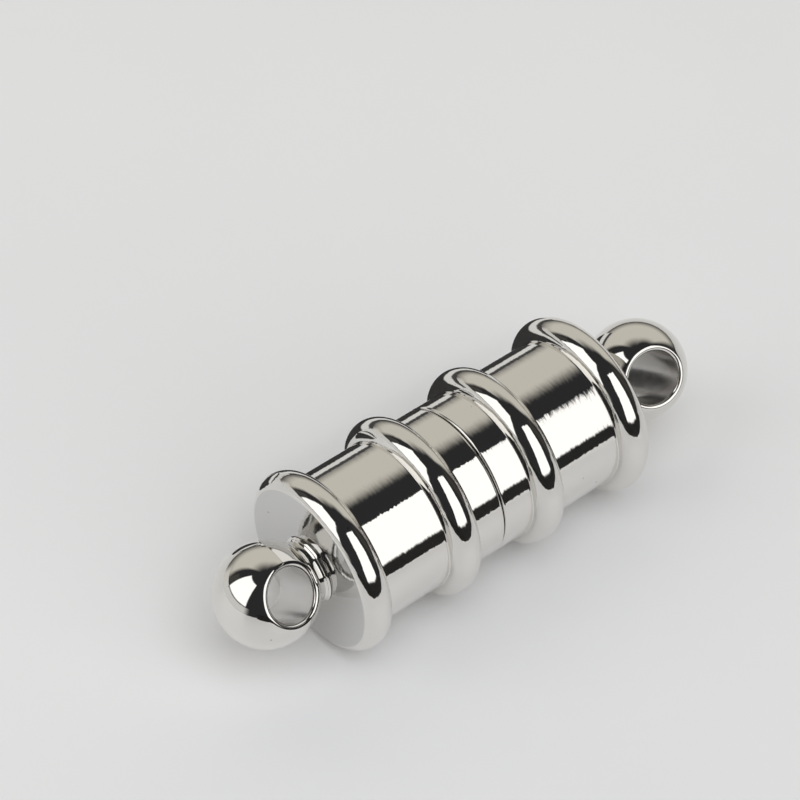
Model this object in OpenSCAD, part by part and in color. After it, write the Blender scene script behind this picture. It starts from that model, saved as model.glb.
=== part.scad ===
// Magnetic barrel clasp, closed and lying on its four rings.
// Lengths in millimetres, +X along the clasp's axis, +Z up.
// The origin is on the resting plane, below the middle of the clasp's length.

/* [Cups] */
// Outer diameter of the four rings that stand round the cups
ring_od = 6.0; // [5.9:0.05:6.4]
// Outer diameter of the wall of each cup
wall_od = 5.0; // [4.8:0.05:5.2]
// Radius of the rounded section of each ring
bead_r = 0.55; // [0.53:0.01:0.58]
// Length of each cup, from the middle of the seam to its end face
cup_len = 5.58; // [5.3:0.02:6.8]
// Distance from the seam to the middle of the ring near the mouth
mid_ring_s = 1.64; // [1.2:0.02:2.2]
// Distance the middle of the end ring lies behind the end face, which cuts the ring
end_ring_back = 0.5; // [0.44:0.01:0.52]
// Width of the seam between the closed cups
seam_gap = 0.06; // [0.04:0.01:0.12]
// Radius of the rounded outer edge of each mouth
mouth_r = 0.12; // [0.08:0.01:0.15]
// Thickness of the end wall that holds the swivel
end_wall = 0.6; // [0.45:0.05:0.65]
// Diameter of the hollow behind the magnet
hollow_d = 3.2; // [2.4:0.1:3.4]

/* [Magnets] */
// Diameter of each magnet
magnet_d = 4.0; // [3.9:0.05:4.1]
// Length of each magnet
magnet_len = 2.5; // [2.0:0.1:2.6]
// Depth of each magnet below the mouth of its cup
magnet_depth = 0.1; // [0.05:0.01:0.2]

/* [Swivels] */
// Diameter of each ball
ball_d = 3.27; // [3.1:0.01:3.4]
// Diameter of the cross hole through each ball
hole_d = 1.7; // [1.5:0.02:1.8]
// Distance the cross hole lies from the middle of the ball, towards the cup
hole_shift = 0.2; // [0.1:0.01:0.25]
// Width of the bevel at both mouths of the cross hole, measured on its radius
hole_bevel = 0.12; // [0.08:0.01:0.14]
// Roll angle of the cross hole of the left ball above the resting plane
hole_roll_a = 36; // [0:1:90]
// Roll angle of the cross hole of the right ball above the resting plane
hole_roll_b = 31; // [0:1:90]
// Diameter of the neck between the ball and the collar
neck_d = 1.96; // [1.8:0.02:2.1]
// Width of the neck between the ball and the collar
neck_w = 0.125; // [0.1:0.005:0.2]
// Diameter of the back of the collar, which tapers down to the neck
collar_d = 2.18; // [2.12:0.02:2.3]
// Width of the collar
collar_w = 0.13; // [0.1:0.01:0.2]
// Gap between the left collar and its end face, with the swivel pushed in
collar_gap_a = 0.04; // [0.03:0.01:0.34]
// Gap between the right collar and its end face, with the swivel drawn out
collar_gap_b = 0.34; // [0.03:0.01:0.34]
// Diameter of the shank that passes through the end wall
shank_d = 0.8; // [0.7:0.02:0.9]
// Diameter of the rivet head inside the cup
head_d = 1.5; // [1.3:0.02:1.7]
// Thickness of the rivet head
head_w = 0.4; // [0.3:0.05:0.5]

/* [Clearances] */
// End play of each swivel in its cup: gap outside the end wall plus gap inside it
end_play = 0.4; // [0.38:0.01:0.6]
// Radial clearance between the shank and its hole in the end wall
shank_clear = 0.05; // [0.04:0.01:0.08]
// Clearance between each magnet and its seat, on the radius and behind it
magnet_clear = 0.03; // [0.02:0.01:0.05]

/* [Hidden] */
$fn = 96;
ring_r = ring_od / 2;
wall_r = wall_od / 2;
ball_r = ball_d / 2;
bead_c = ring_r - bead_r;
end_ring_s = cup_len - end_ring_back;
mouth_s = seam_gap / 2;
seat_s = mouth_s + magnet_depth + magnet_len + magnet_clear;
inner_s = cup_len - end_wall;
hole_r = hole_d / 2;
neck_r = neck_d / 2;
ball_s = collar_w + neck_w + sqrt(ball_r * ball_r - neck_r * neck_r);
head_s = -(end_wall + end_play);
rim_r = hole_r + hole_bevel;
rim_z = sqrt(ball_r * ball_r - rim_r * rim_r);
rim_tilt = asin(hole_shift / sqrt(ball_r * ball_r - hole_r * hole_r));
cone_depth = 0.4;
seam_x = (collar_gap_a - collar_gap_b) / 2;
over = 1;

// Turned parts are drawn upright. This lays one down along X, at the height of the
// clasp's axis, with its zero the given distance from the seam.
module laid(side, distance)
{
    translate([seam_x + side * distance, 0, ring_r])
        rotate([0, side * 90, 0])
            children();
}

// Half section of a cup: radius to the right, distance from the seam upwards. The
// flat end face cuts off the outer side of the end ring.
module cup_section()
{
    difference()
    {
        intersection()
        {
            union()
            {
                translate([0, mouth_s + mouth_r])
                    square([wall_r, cup_len - mouth_s - mouth_r]);
                translate([0, mouth_s])
                    square([wall_r - mouth_r, mouth_r]);
                translate([wall_r - mouth_r, mouth_s + mouth_r])
                    circle(r = mouth_r);
                for (s = [mid_ring_s, end_ring_s])
                    translate([bead_c, s])
                        circle(r = bead_r);
            }
            square([ring_r + over, cup_len]);
        }
        translate([-over, mouth_s - over])
            square([magnet_d / 2 + magnet_clear + over, seat_s - mouth_s + over]);
        translate([-over, seat_s - over])
            square([hollow_d / 2 + over, inner_s - seat_s + over]);
        translate([-over, inner_s - over])
            square([shank_d / 2 + shank_clear + over, end_wall + 2 * over]);
    }
}

// Half section of a swivel, with its zero at the collar's back: rivet head and
// shank below it, tapered collar, neck and ball above it.
module swivel_section()
{
    intersection()
    {
        union()
        {
            translate([0, ball_s])
                circle(r = ball_r);
            square([neck_r, ball_s]);
            polygon([[0, 0], [collar_d / 2, 0], [neck_r, collar_w], [0, collar_w]]);
            translate([0, head_s])
                square([shank_d / 2, collar_w - head_s]);
            translate([0, head_s - head_w])
                square([head_d / 2, head_w]);
        }
        translate([0, head_s - head_w])
            square([ring_r, ball_s + ball_r + head_w - head_s + over]);
    }
}

// The tool that leaves the cross hole of a ball, drawn at the ball's middle with
// the cup towards its own +X. A bevel follows the rim at each end.
module hole_tool()
{
    translate([hole_shift, 0, 0])
        cylinder(r = hole_r, h = 2 * (ball_r + over), center = true);
    for (end = [-1, 1])
        rotate([0, (end < 0 ? 180 : 0) + end * rim_tilt, 0])
            translate([0, 0, rim_z - cone_depth])
                cylinder(r1 = rim_r - cone_depth, r2 = rim_r + over, h = cone_depth + over);
}

module cup(side)
{
    laid(side, 0)
        rotate_extrude()
            cup_section();
}

module magnet(side)
{
    laid(side, mouth_s + magnet_depth)
        cylinder(d = magnet_d, h = magnet_len);
}

module ball_end(side, gap, roll)
{
    difference()
    {
        laid(side, cup_len + gap)
            rotate_extrude()
                swivel_section();
        translate([seam_x + side * (cup_len + gap + ball_s), 0, ring_r])
            rotate([90 - roll, 0, 0])
                rotate([0, 0, 90 + side * 90])
                    hole_tool();
    }
}

module cup_a()
{
    color("silver")
        cup(-1);
}

module cup_b()
{
    color("lightsteelblue")
        cup(1);
}

module magnet_a()
{
    color("dimgray")
        magnet(-1);
}

module magnet_b()
{
    color("darkgray")
        magnet(1);
}

module ball_end_a()
{
    color("gainsboro")
        ball_end(-1, collar_gap_a, hole_roll_a);
}

module ball_end_b()
{
    color("whitesmoke")
        ball_end(1, collar_gap_b, hole_roll_b);
}

cup_a();
cup_b();
magnet_a();
magnet_b();
ball_end_a();
ball_end_b();
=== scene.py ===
import math

import bmesh
import bpy
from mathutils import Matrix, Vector


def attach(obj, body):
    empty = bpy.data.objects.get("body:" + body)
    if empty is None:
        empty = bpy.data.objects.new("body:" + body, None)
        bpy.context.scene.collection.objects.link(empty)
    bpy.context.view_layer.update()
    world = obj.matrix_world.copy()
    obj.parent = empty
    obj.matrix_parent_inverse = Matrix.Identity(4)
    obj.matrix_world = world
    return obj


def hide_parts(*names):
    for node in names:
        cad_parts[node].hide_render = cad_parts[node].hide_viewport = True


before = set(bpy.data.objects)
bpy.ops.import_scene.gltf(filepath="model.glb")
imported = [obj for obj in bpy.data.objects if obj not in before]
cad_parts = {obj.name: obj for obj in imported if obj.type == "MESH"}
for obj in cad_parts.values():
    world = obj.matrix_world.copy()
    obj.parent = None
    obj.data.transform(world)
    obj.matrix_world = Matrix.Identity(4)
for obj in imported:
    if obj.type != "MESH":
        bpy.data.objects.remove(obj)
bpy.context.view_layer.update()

# Camera
# A short telephoto view from the front left, 47 degrees above the floor. It stands
# 0.10 m away, at the angle from which the clasp's seam, rings and both balls show.
camera = bpy.data.objects.new("camera", bpy.data.cameras.new("camera"))
bpy.context.scene.collection.objects.link(camera)
camera.location = (-0.043876, -0.051277, 0.077915)
view_line = Vector((0.432927, 0.533072, -0.726917))
camera.rotation_euler = view_line.to_track_quat("-Z", "Y").to_euler()
camera.data.lens = 148.42
camera.data.sensor_width = 36
camera.data.clip_start = 0.001
bpy.context.scene.camera = camera
bpy.context.scene.view_settings.view_transform = "Standard"

# Surroundings
# The dark end of a studio, which the plating mirrors between the lit panels. A
# camera that looks past the floor sees plain pale paper instead.
world = bpy.data.worlds.new("studio")
bpy.context.scene.world = world
world.use_nodes = True
nodes = world.node_tree.nodes
links = world.node_tree.links
nodes.clear()
room = nodes.new("ShaderNodeBackground")
room.inputs["Color"].default_value = (0.028, 0.028, 0.030, 1)
paper = nodes.new("ShaderNodeBackground")
paper.inputs["Color"].default_value = (0.55, 0.55, 0.545, 1)
path = nodes.new("ShaderNodeLightPath")
choose = nodes.new("ShaderNodeMixShader")
out = nodes.new("ShaderNodeOutputWorld")
links.new(path.outputs["Is Camera Ray"], choose.inputs[0])
links.new(room.outputs[0], choose.inputs[1])
links.new(paper.outputs[0], choose.inputs[2])
links.new(choose.outputs[0], out.inputs["Surface"])

# Panels
# Two softboxes, a low pale apron on the left, a warm grey wall behind the clasp and two
# dim walls beside it. Each is a sheet bent round the clasp that fades out at its edges.

# Name, first and last azimuth, lowest and highest elevation in degrees, colour,
# strength, and the part of the width and of the height that fades.
panels = [
    ("softbox_front", -118, -36, 4, 67.6, (1.00, 1.00, 0.99), 1.35, (0.03, 0.03)),
    ("softbox_left", 134, 190, 14, 64, (1.00, 1.00, 0.99), 1.35, (0.05, 0.05)),
    ("apron_left", 96, 200, -2, 14, (1.00, 1.00, 0.97), 0.68, (0.15, 0.10)),
    ("wall_back", -9, 112, -4, 80, (1.00, 0.965, 0.87), 0.64, (0.10, 0.32)),
    ("wall_right", -36, -10, -4, 48, (1.00, 0.92, 0.84), 0.05, (0.20, 0.20)),
    ("wall_gap", 120, 134, 12, 40, (1.00, 0.96, 0.90), 0.06, (0.20, 0.20)),
]
panel_distance = 0.30
for name, az_low, az_high, el_low, el_high, colour, strength, fade in panels:
    bm = bmesh.new()
    bm.loops.layers.uv.new("sheet")
    bmesh.ops.create_grid(bm, x_segments=48, y_segments=32, size=0.5, calc_uvs=True)
    for vert in bm.verts:
        across, up = vert.co.x + 0.5, vert.co.y + 0.5
        # The back wall is longer at its foot and lower towards its right end.
        az_end = az_high + 20 * (1 - up) ** 2 if name == "wall_back" else az_high
        az = az_low + across * (az_end - az_low)
        el_top = el_high - 0.45 * max(0, 40 - az) if name == "wall_back" else el_high
        el = math.radians(el_low + up * (el_top - el_low))
        az = math.radians(az)
        vert.co = panel_distance * Vector((math.cos(el) * math.cos(az),
                                           math.cos(el) * math.sin(az), math.sin(el)))
        if name == "softbox_front":
            # A flat box along the clasp, level at the top and slanted on the right.
            left, right, foot, height = -0.133, 0.144 + up * 0.200, 0.020, 0.588
            vert.co = Vector((left + across * (right - left), -0.25, foot + up * height))
        # No panel reaches into the floor.
        vert.co.z = max(vert.co.z, 0.0005)
    mesh = bpy.data.meshes.new(name)
    bm.to_mesh(mesh)
    bm.free()
    panel = bpy.data.objects.new(name, mesh)
    bpy.context.scene.collection.objects.link(panel)
    panel.visible_camera = False
    panel.visible_shadow = False
    lamp = bpy.data.materials.new(name)
    lamp.use_nodes = True
    nodes = lamp.node_tree.nodes
    links = lamp.node_tree.links
    nodes.clear()
    place = nodes.new("ShaderNodeTexCoord")
    split = nodes.new("ShaderNodeSeparateXYZ")
    links.new(place.outputs["UV"], split.inputs[0])
    level = None
    for axis in (0, 1):
        for start, stop in ((0.0, fade[axis]), (1.0, 1.0 - fade[axis])):
            edge = nodes.new("ShaderNodeMapRange")
            edge.interpolation_type = "SMOOTHSTEP"
            edge.inputs["From Min"].default_value = start
            edge.inputs["From Max"].default_value = stop
            links.new(split.outputs[axis], edge.inputs["Value"])
            if level is None:
                level = edge.outputs[0]
            else:
                product = nodes.new("ShaderNodeMath")
                product.operation = "MULTIPLY"
                links.new(level, product.inputs[0])
                links.new(edge.outputs[0], product.inputs[1])
                level = product.outputs[0]
    glow = nodes.new("ShaderNodeEmission")
    glow.inputs["Color"].default_value = (*colour, 1)
    glow.inputs["Strength"].default_value = strength
    clear = nodes.new("ShaderNodeBsdfTransparent")
    blend = nodes.new("ShaderNodeMixShader")
    out = nodes.new("ShaderNodeOutputMaterial")
    links.new(level, blend.inputs[0])
    links.new(clear.outputs[0], blend.inputs[1])
    links.new(glow.outputs[0], blend.inputs[2])
    links.new(blend.outputs[0], out.inputs["Surface"])
    mesh.materials.append(lamp)

# Black flag
# A low black card in front of the clasp, outside the view. The plating mirrors it
# as the dark line between floor and softbox.
bm = bmesh.new()
bmesh.ops.create_grid(bm, x_segments=24, y_segments=1, size=0.5)
flag_distance, flag_middle, flag_spread = 0.019, -95, 124
flag_foot, flag_rise, flag_top = 0.0002, 0.0030, 0.0050
for vert in bm.verts:
    # It bends round the clasp, and its lower edge rises towards both ends.
    az = math.radians(flag_middle + vert.co.x * flag_spread)
    low = flag_foot + flag_rise * abs(2 * vert.co.x) ** 3
    up = vert.co.y + 0.5
    vert.co = Vector((flag_distance * math.cos(az), flag_distance * math.sin(az),
                      low + up * (flag_top - low)))
mesh = bpy.data.meshes.new("black_flag")
bm.to_mesh(mesh)
bm.free()
flag = bpy.data.objects.new("black_flag", mesh)
bpy.context.scene.collection.objects.link(flag)
flag.visible_camera = False
flag.visible_shadow = False
flag.visible_diffuse = False
black = bpy.data.materials.new("black_flag")
black.use_nodes = True
shader = black.node_tree.nodes["Principled BSDF"]
shader.inputs["Base Color"].default_value = (0.02, 0.02, 0.02, 1)
shader.inputs["Roughness"].default_value = 0.9
mesh.materials.append(black)

# Striped card
# A low dark card with a glowing pale stripe, behind the clasp and outside the view. It is
# a painted reflection: the plating mirrors the card as dark outlines, painted shade, and the
# stripe as the fine light line along its far side, a painted highlight.
bm = bmesh.new()
bm.loops.layers.uv.new("sheet")
bmesh.ops.create_grid(bm, x_segments=96, y_segments=4, size=0.5, calc_uvs=True)
card_left, card_right, card_y = -0.0067, 0.0079, 0.0062
card_height, card_middle = 0.0056, 0.0030
tongue_end, tongue_middle, tongue_radius = -0.0034, -0.0051, 0.0016
for vert in bm.verts:
    # Its left end is cut to a round tongue, clear of the floor.
    along = card_left + (vert.co.x + 0.5) * (card_right - card_left)
    height = card_height
    if along <= tongue_end:
        height = 2 * math.sqrt(max(0, tongue_radius ** 2 - (along - tongue_middle) ** 2))
    vert.co = Vector((along, card_y, card_middle + vert.co.y * height))
mesh = bpy.data.meshes.new("painted_reflection_card")
bm.to_mesh(mesh)
bm.free()
striped = bpy.data.objects.new("painted_reflection_card", mesh)
bpy.context.scene.collection.objects.link(striped)
striped.visible_camera = False
striped.visible_shadow = False
striped.visible_diffuse = False
card = bpy.data.materials.new("painted_reflection_card")
card.use_nodes = True
nodes = card.node_tree.nodes
links = card.node_tree.links
shader = nodes["Principled BSDF"]
place = nodes.new("ShaderNodeTexCoord")
split = nodes.new("ShaderNodeSeparateXYZ")
links.new(place.outputs["UV"], split.inputs[0])
stripe = nodes.new("ShaderNodeValToRGB")
stripe.color_ramp.elements[0].position = 0.62
stripe.color_ramp.elements[0].color = (0.02, 0.02, 0.02, 1)
stripe.color_ramp.elements[1].position = 0.66
stripe.color_ramp.elements[1].color = (0.9, 0.9, 0.88, 1)
for position, level in ((0.84, 0.9), (0.88, 0.05)):
    stop = stripe.color_ramp.elements.new(position)
    stop.color = (level, level, level * 0.98, 1)
links.new(split.outputs["Y"], stripe.inputs["Fac"])
# The stripe glows: a painted highlight, seen only in the plating.
links.new(stripe.outputs["Color"], shader.inputs["Emission Color"])
shader.inputs["Emission Strength"].default_value = 0.8
shader.inputs["Base Color"].default_value = (0.03, 0.03, 0.03, 1)
shader.inputs["Roughness"].default_value = 0.9
mesh.materials.append(card)

# Top light
# A wide soft light high above, which whitens the floor and softens the shadow. The
# plating doesn't mirror it.
top = bpy.data.objects.new("top_light", bpy.data.lights.new("top_light", "AREA"))
bpy.context.scene.collection.objects.link(top)
top.location = (-0.10, -0.25, 0.60)
top.rotation_euler = top.location.to_track_quat("Z", "Y").to_euler()
top.data.shape = "DISK"
top.data.size = 0.6
top.data.energy = 1.9
top.data.color = (0.95, 0.97, 1.0)
top.visible_glossy = False

# Floor
# A sheet of smooth white card, 0.58 m square, with a faint sheen. Its mottling is a
# slow noise in its colour.
bm = bmesh.new()
bmesh.ops.create_grid(bm, x_segments=40, y_segments=40, size=0.29)
mesh = bpy.data.meshes.new("floor")
bm.to_mesh(mesh)
bm.free()
floor = bpy.data.objects.new("floor", mesh)
bpy.context.scene.collection.objects.link(floor)
white = bpy.data.materials.new("white_card")
white.use_nodes = True
nodes = white.node_tree.nodes
links = white.node_tree.links
shader = nodes["Principled BSDF"]
place = nodes.new("ShaderNodeTexCoord")
mottle = nodes.new("ShaderNodeTexNoise")
mottle.inputs["Scale"].default_value = 60
mottle.inputs["Detail"].default_value = 3
links.new(place.outputs["Object"], mottle.inputs["Vector"])
tone = nodes.new("ShaderNodeValToRGB")
tone.color_ramp.elements[0].position = 0.3
tone.color_ramp.elements[0].color = (0.86, 0.86, 0.865, 1)
tone.color_ramp.elements[1].position = 0.7
tone.color_ramp.elements[1].color = (0.88, 0.88, 0.885, 1)
links.new(mottle.outputs["Fac"], tone.inputs["Fac"])
links.new(tone.outputs["Color"], shader.inputs["Base Color"])
shader.inputs["Roughness"].default_value = 0.45
shader.inputs["Specular IOR Level"].default_value = 0.4
mesh.materials.append(white)

# Cups
# The two halves of the barrel, turned from brass bar and plated bright silver. Each
# has a rounded lip, two rings, a flat end wall with the shank's hole, and a seat.

# The seam's place along the clasp and the height of the clasp's axis.
seam_x, axis_z = -0.00015, 0.003
plating = bpy.data.materials.new("bright_plating")
plating.use_nodes = True
nodes = plating.node_tree.nodes
links = plating.node_tree.links
shader = nodes["Principled BSDF"]
shader.inputs["Metallic"].default_value = 1.0
# Turning marks: noise that is laid out by distance along the axis and radius, so that
# it runs round the piece.
place = nodes.new("ShaderNodeTexCoord")
split = nodes.new("ShaderNodeSeparateXYZ")
links.new(place.outputs["Object"], split.inputs[0])
lift = nodes.new("ShaderNodeMath")
lift.operation = "SUBTRACT"
lift.inputs[1].default_value = axis_z
links.new(split.outputs["Z"], lift.inputs[0])
flat = nodes.new("ShaderNodeCombineXYZ")
links.new(split.outputs["Y"], flat.inputs["X"])
links.new(lift.outputs[0], flat.inputs["Y"])
radius = nodes.new("ShaderNodeVectorMath")
radius.operation = "LENGTH"
links.new(flat.outputs[0], radius.inputs[0])
around = nodes.new("ShaderNodeMath")
around.operation = "MULTIPLY_ADD"
around.inputs[1].default_value = 0.2
around.inputs[2].default_value = 0.0
links.new(split.outputs["Y"], around.inputs[0])
turned = nodes.new("ShaderNodeCombineXYZ")
links.new(split.outputs["X"], turned.inputs["X"])
links.new(radius.outputs["Value"], turned.inputs["Y"])
links.new(around.outputs[0], turned.inputs["Z"])
marks = nodes.new("ShaderNodeTexNoise")
marks.inputs["Scale"].default_value = 14000
marks.inputs["Detail"].default_value = 3
marks.inputs["Roughness"].default_value = 0.6
links.new(turned.outputs[0], marks.inputs["Vector"])
# Slow waves of the plating, which also vary its polish.
peel = nodes.new("ShaderNodeTexNoise")
peel.inputs["Scale"].default_value = 2600
peel.inputs["Detail"].default_value = 2
links.new(place.outputs["Object"], peel.inputs["Vector"])
turning = nodes.new("ShaderNodeBump")
turning.inputs["Strength"].default_value = 1.0
turning.inputs["Distance"].default_value = 0.0000009
links.new(marks.outputs["Fac"], turning.inputs["Height"])
waves = nodes.new("ShaderNodeBump")
waves.inputs["Strength"].default_value = 1.0
waves.inputs["Distance"].default_value = 0.0000009
links.new(peel.outputs["Fac"], waves.inputs["Height"])
links.new(turning.outputs["Normal"], waves.inputs["Normal"])
# Chatter of the lathe tool, which breaks the edges of reflections up into fine teeth.
centred = nodes.new("ShaderNodeVectorMath")
centred.operation = "SUBTRACT"
centred.inputs[1].default_value = (0.5, 0.5, 0.5)
links.new(marks.outputs["Color"], centred.inputs[0])
chatter = nodes.new("ShaderNodeVectorMath")
chatter.operation = "SCALE"
chatter.name = "chatter"
chatter.inputs["Scale"].default_value = 0.06
links.new(centred.outputs[0], chatter.inputs[0])
shaken = nodes.new("ShaderNodeVectorMath")
shaken.operation = "ADD"
links.new(waves.outputs["Normal"], shaken.inputs[0])
links.new(chatter.outputs[0], shaken.inputs[1])
level = nodes.new("ShaderNodeVectorMath")
level.operation = "NORMALIZE"
links.new(shaken.outputs[0], level.inputs[0])
links.new(level.outputs[0], shader.inputs["Normal"])
# A few dark specks in the plating.
cells = nodes.new("ShaderNodeTexVoronoi")
cells.inputs["Scale"].default_value = 1150
links.new(place.outputs["Object"], cells.inputs["Vector"])
specks = nodes.new("ShaderNodeMapRange")
specks.inputs["From Min"].default_value = 0.018
specks.inputs["From Max"].default_value = 0.042
links.new(cells.outputs["Distance"], specks.inputs["Value"])
metal = nodes.new("ShaderNodeMix")
metal.name = "metal"
metal.data_type = "RGBA"
metal.inputs["A"].default_value = (0.10, 0.09, 0.08, 1)
metal.inputs["B"].default_value = (0.78, 0.762, 0.73, 1)
links.new(specks.outputs[0], metal.inputs["Factor"])
links.new(metal.outputs["Result"], shader.inputs["Base Color"])
polish = nodes.new("ShaderNodeMapRange")
polish.name = "polish"
polish.inputs["To Min"].default_value = 0.02
polish.inputs["To Max"].default_value = 0.07
links.new(peel.outputs["Fac"], polish.inputs["Value"])
links.new(polish.outputs[0], shader.inputs["Roughness"])
# The end faces are turned flat before plating and come out a little rougher; their
# darker colour is painted shade.
end_face_shaded_plating = plating.copy()
end_face_shaded_plating.name = "end_face_plating_painted_shade"
end_face_shaded_plating.node_tree.nodes["metal"].inputs["B"].default_value = (0.635, 0.63, 0.62, 1)
end_face_shaded_plating.node_tree.nodes["chatter"].inputs["Scale"].default_value = 0.03
end_face_shaded_plating.node_tree.nodes["polish"].inputs["To Max"].default_value = 0.12

# Distances from the seam and radii, in millimetres.
lip_s, face_s, ring_places = 0.018, 5.58, (1.64, 5.08)
wall, ring_middle, ring_size = 2.5, 2.45, 0.55
lip_round, fillet, edge_round = 0.09, 0.03, 0.06
# Where a ring runs into its fillets and, at the end face, into the rounded edge.
meet = math.degrees(math.asin((wall + fillet - ring_middle) / (ring_size + fillet)))
apart = (ring_size + fillet) * math.cos(math.radians(meet))
edge_s = face_s - edge_round
edge_meet = math.degrees(math.acos((edge_s - ring_places[1]) / (ring_size - edge_round)))
edge_r = ring_middle + (ring_size - edge_round) * math.sin(math.radians(edge_meet))
# The section runs from the lip outside to the end face and back inside. Each arc has
# its middle, size, first and last angle, and number of steps.
section = [(lip_s, 2.063), (lip_s, 2.09), (lip_s, 2.39)]
arcs = [
    (lip_s + lip_round, wall - lip_round, lip_round, 180, 90, 8),
    (ring_places[0] - apart, wall + fillet, fillet, 270, 360 - meet, 5),
    (ring_places[0], ring_middle, ring_size, 180 - meet, meet, 40),
    (ring_places[0] + apart, wall + fillet, fillet, 180 + meet, 270, 5),
    (ring_places[1] - apart, wall + fillet, fillet, 270, 360 - meet, 5),
    (ring_places[1], ring_middle, ring_size, 180 - meet, edge_meet, 36),
    (edge_s, edge_r, edge_round, edge_meet, 0, 5),
]
for mid_s, mid_r, size, first, last, count in arcs:
    # Two more loops at each end of the straight wall keep it straight in the light.
    if first == 270:
        section += [(mid_s - 0.03, wall), (mid_s - 0.01, wall)]
    for step in range(count + 1):
        angle = math.radians(first + (last - first) * step / count)
        section.append((mid_s + size * math.cos(angle), mid_r + size * math.sin(angle)))
    if last in (90, 270):
        section += [(mid_s + 0.01, wall), (mid_s + 0.03, wall)]
# The shank's hole, the inner side of the end wall, the hollow and the magnet's seat.
shank_hole, inner_s, hollow, floor_s, seat = 0.45, 4.98, 1.60, 2.66, 2.03
section += [(face_s, 2.64), (face_s, 0.50), (face_s, 0.475), (5.555, shank_hole),
            (5.53, shank_hole), (5.00, shank_hole), (inner_s, 0.47), (inner_s, 1.58),
            (4.96, hollow), (2.68, hollow), (floor_s, 1.62), (floor_s, 2.01),
            (2.64, seat), (0.08, seat), (0.05, seat)]


def turn(bm, side, outline, steps, closed=False):
    """Turns a piece of the left or right half round the clasp's axis.

    The outline holds distances from the seam and radii, in millimetres.
    """
    line = [bm.verts.new((seam_x + side * s / 1000, 0, axis_z + r / 1000)) for s, r in outline]
    edges = [bm.edges.new((line[i - 1], line[i])) for i in range(0 if closed else 1, len(line))]
    bmesh.ops.spin(bm, geom=edges, cent=(0, 0, axis_z), axis=(1, 0, 0), angle=math.tau,
                   steps=steps, use_merge=True)
    # Two arcs that meet leave a double point.
    bmesh.ops.remove_doubles(bm, verts=bm.verts, dist=0.0000001)


for side, letter in ((-1, "a"), (1, "b")):
    bm = bmesh.new()
    turn(bm, side, section, steps=256, closed=True)
    bmesh.ops.recalc_face_normals(bm, faces=bm.faces)
    for face in bm.faces:
        face.smooth = True
        # The flat end faces take the darker plating with painted shade.
        if abs(face.normal.x * side - 1) < 0.0001:
            face.material_index = 1
    mesh = bpy.data.meshes.new("cup_shell_" + letter)
    bm.to_mesh(mesh)
    bm.free()
    mesh.set_sharp_from_angle(angle=math.radians(35))
    mesh.materials.append(plating)
    mesh.materials.append(end_face_shaded_plating)
    shell = bpy.data.objects.new("cup_shell_" + letter, mesh)
    bpy.context.scene.collection.objects.link(shell)
    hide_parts("cup_" + letter)
    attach(shell, "half_" + letter)

# Ball ends
# Each swivel is turned in one piece with its ball, neck, stepped collar and shank,
# cross-drilled for a jump ring, and riveted over inside the cup's end wall.
swivel_plating = plating.copy()
swivel_plating.name = "swivel_plating"
for node in swivel_plating.node_tree.nodes:
    if node.type == "BUMP":
        node.inputs["Distance"].default_value = 0.00000025
swivel_plating.node_tree.nodes["chatter"].inputs["Scale"].default_value = 0.01
# The plating is thin and rougher in the drilled hole. Its darker colour is partly the thin
# plating and partly painted shade.
bore_plating_painted_shade = swivel_plating.copy()
bore_plating_painted_shade.name = "bore_plating_painted_shade"
bore_plating_painted_shade.node_tree.nodes["metal"].inputs["B"].default_value = (0.63, 0.615, 0.60, 1)
bore_plating_painted_shade.node_tree.nodes["polish"].inputs["To Min"].default_value = 0.15
bore_plating_painted_shade.node_tree.nodes["polish"].inputs["To Max"].default_value = 0.30

# Stem: distance from the collar's back towards the ball, and radius, in millimetres.
stem = [(-1.40, 0.0), (-1.40, 0.55), (-1.35, 0.68), (-1.25, 0.74), (-1.18, 0.75), (-1.03, 0.75),
        (-1.00, 0.72), (-1.00, 0.43), (-0.97, 0.40), (-0.94, 0.40), (-0.03, 0.40), (0.0, 0.43),
        (0.0, 0.60), (-0.024, 0.62), (-0.026, 0.65), (-0.026, 1.085), (-0.026, 1.094),
        (-0.022, 1.096), (-0.017, 1.093), (0.029, 1.054), (0.034, 1.049), (0.035, 1.042),
        (0.037, 1.036), (0.043, 1.034), (0.047, 1.031), (0.090, 0.995), (0.095, 0.992),
        (0.103, 0.990), (0.11, 0.989), (0.215, 0.972), (0.242, 0.974), (0.270, 0.986),
        (0.298, 1.006), (0.326, 1.036), (0.35, 1.075), (0.37, 1.108), (0.39, 1.125),
        (0.42, 1.12), (0.443, 1.10), (0.443, 0.0)]
# The ball's hole lies off its middle, towards the cup, and has rounded rims.
ball_s, ball, hole, hole_shift, rim = 1.56373, 1.635, 0.85, 0.2, 0.12
directions, ball_steps, rim_steps = 128, 72, 8

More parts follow.
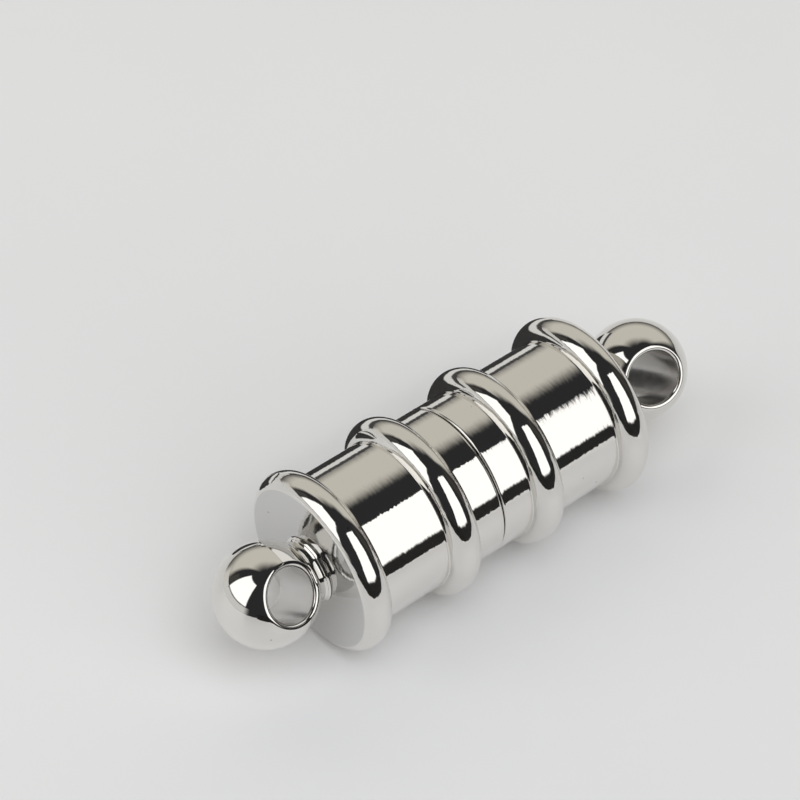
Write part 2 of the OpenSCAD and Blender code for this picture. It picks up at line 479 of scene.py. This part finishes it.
# Each swivel has its own gap to the end face, in millimetres, and roll in degrees.
for side, letter, gap, roll in ((-1, "a", 0.04, 36), (1, "b", 0.34, 31)):
    bm = bmesh.new()
    back = face_s + gap
    turn(bm, side, [(back + s, r) for s, r in stem], steps=192)
    # Ball: one closed loop for each direction around the hole, joined to the next.
    tilt = math.radians(roll)
    to_cup = Vector((-side, 0, 0))
    along = Vector((0, -math.cos(tilt), math.sin(tilt)))
    across = along.cross(to_cup)
    middle = Vector((seam_x + side * (back + ball_s - hole_shift) / 1000, 0, axis_z))
    loops = []
    for direction in range(directions):
        phi = math.tau * direction / directions
        centre = -hole_shift * math.cos(phi)
        reach = math.sqrt(ball ** 2 - (hole_shift * math.sin(phi)) ** 2)
        rim_z = math.sqrt((reach - rim) ** 2 - (hole + rim - centre) ** 2)
        lean = math.atan2(rim_z, hole + rim - centre)
        points = []
        for step in range(ball_steps + 1):
            angle = lean - 2 * lean * step / ball_steps
            points.append((centre + reach * math.cos(angle), reach * math.sin(angle)))
        for step in range(1, rim_steps + 1):
            angle = -lean - (math.pi - lean) * step / rim_steps
            points.append((hole + rim + rim * math.cos(angle), -rim_z + rim * math.sin(angle)))
        for height in (-0.98, -0.6, -0.2, 0.2, 0.6, 0.98):
            points.append((hole, rim_z * height))
        for step in range(rim_steps):
            angle = math.pi - (math.pi - lean) * step / rim_steps
            points.append((hole + rim + rim * math.cos(angle), rim_z + rim * math.sin(angle)))
        outward = math.cos(phi) * to_cup + math.sin(phi) * across
        loops.append([bm.verts.new(middle + (outward * rho + along * z) / 1000)
                      for rho, z in points])
    # The faces after those of the ball and of one rim line the hole.
    bore_first = ball_steps + 1 + rim_steps
    for direction in range(directions):
        here, there = loops[direction - 1], loops[direction]
        for i in range(len(here)):
            face = bm.faces.new((here[i - 1], here[i], there[i], there[i - 1]))
            face.material_index = 1 if bore_first <= i <= bore_first + 6 else 0
    bmesh.ops.recalc_face_normals(bm, faces=bm.faces)
    for face in bm.faces:
        face.smooth = True
    mesh = bpy.data.meshes.new("swivel_" + letter + "_piece")
    bm.to_mesh(mesh)
    bm.free()
    mesh.set_sharp_from_angle(angle=math.radians(40))
    mesh.materials.append(swivel_plating)
    mesh.materials.append(bore_plating_painted_shade)
    swivel = bpy.data.objects.new("drilled_ball_" + letter, mesh)
    bpy.context.scene.collection.objects.link(swivel)
    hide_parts("ball_end_" + letter)
    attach(swivel, "swivel_" + letter)

# Magnets
# A pressed and sintered disc in each cup, nickel plated, with small chamfers. Its
# face lies just below the lip, so that the lips meet first.
nickel = bpy.data.materials.new("satin_nickel")
nickel.use_nodes = True
nodes = nickel.node_tree.nodes
links = nickel.node_tree.links
shader = nodes["Principled BSDF"]
shader.inputs["Metallic"].default_value = 1.0
place = nodes.new("ShaderNodeTexCoord")
grain = nodes.new("ShaderNodeTexNoise")
grain.inputs["Scale"].default_value = 16000
grain.inputs["Detail"].default_value = 4
links.new(place.outputs["Object"], grain.inputs["Vector"])
cloud = nodes.new("ShaderNodeTexNoise")
cloud.inputs["Scale"].default_value = 900
links.new(place.outputs["Object"], cloud.inputs["Vector"])
tone = nodes.new("ShaderNodeValToRGB")
tone.color_ramp.elements[0].position = 0.35
tone.color_ramp.elements[0].color = (0.50, 0.49, 0.47, 1)
tone.color_ramp.elements[1].position = 0.65
tone.color_ramp.elements[1].color = (0.62, 0.61, 0.585, 1)
links.new(cloud.outputs["Fac"], tone.inputs["Fac"])
links.new(tone.outputs["Color"], shader.inputs["Base Color"])
satin = nodes.new("ShaderNodeMapRange")
satin.inputs["To Min"].default_value = 0.22
satin.inputs["To Max"].default_value = 0.42
links.new(grain.outputs["Fac"], satin.inputs["Value"])
links.new(satin.outputs[0], shader.inputs["Roughness"])
tooth = nodes.new("ShaderNodeBump")
tooth.inputs["Distance"].default_value = 0.0000015
links.new(grain.outputs["Fac"], tooth.inputs["Height"])
links.new(tooth.outputs["Normal"], shader.inputs["Normal"])

# Half section: distance from the seam and radius, in millimetres.
disc = [(0.13, 0.0), (0.13, 1.90), (0.135, 1.935), (0.15, 1.965), (0.18, 1.99), (0.22, 2.0),
        (0.25, 2.0), (2.51, 2.0), (2.54, 2.0), (2.58, 1.99), (2.61, 1.965), (2.625, 1.935),
        (2.63, 1.90), (2.63, 0.0)]

for side, letter in ((-1, "a"), (1, "b")):
    bm = bmesh.new()
    turn(bm, side, disc, steps=128)
    bmesh.ops.recalc_face_normals(bm, faces=bm.faces)
    for face in bm.faces:
        face.smooth = True
    mesh = bpy.data.meshes.new("magnet_disc_" + letter)
    bm.to_mesh(mesh)
    bm.free()
    mesh.set_sharp_from_angle(angle=math.radians(35))
    mesh.materials.append(nickel)
    magnet = bpy.data.objects.new("magnet_disc_" + letter, mesh)
    bpy.context.scene.collection.objects.link(magnet)
    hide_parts("magnet_" + letter)
    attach(magnet, "half_" + letter)
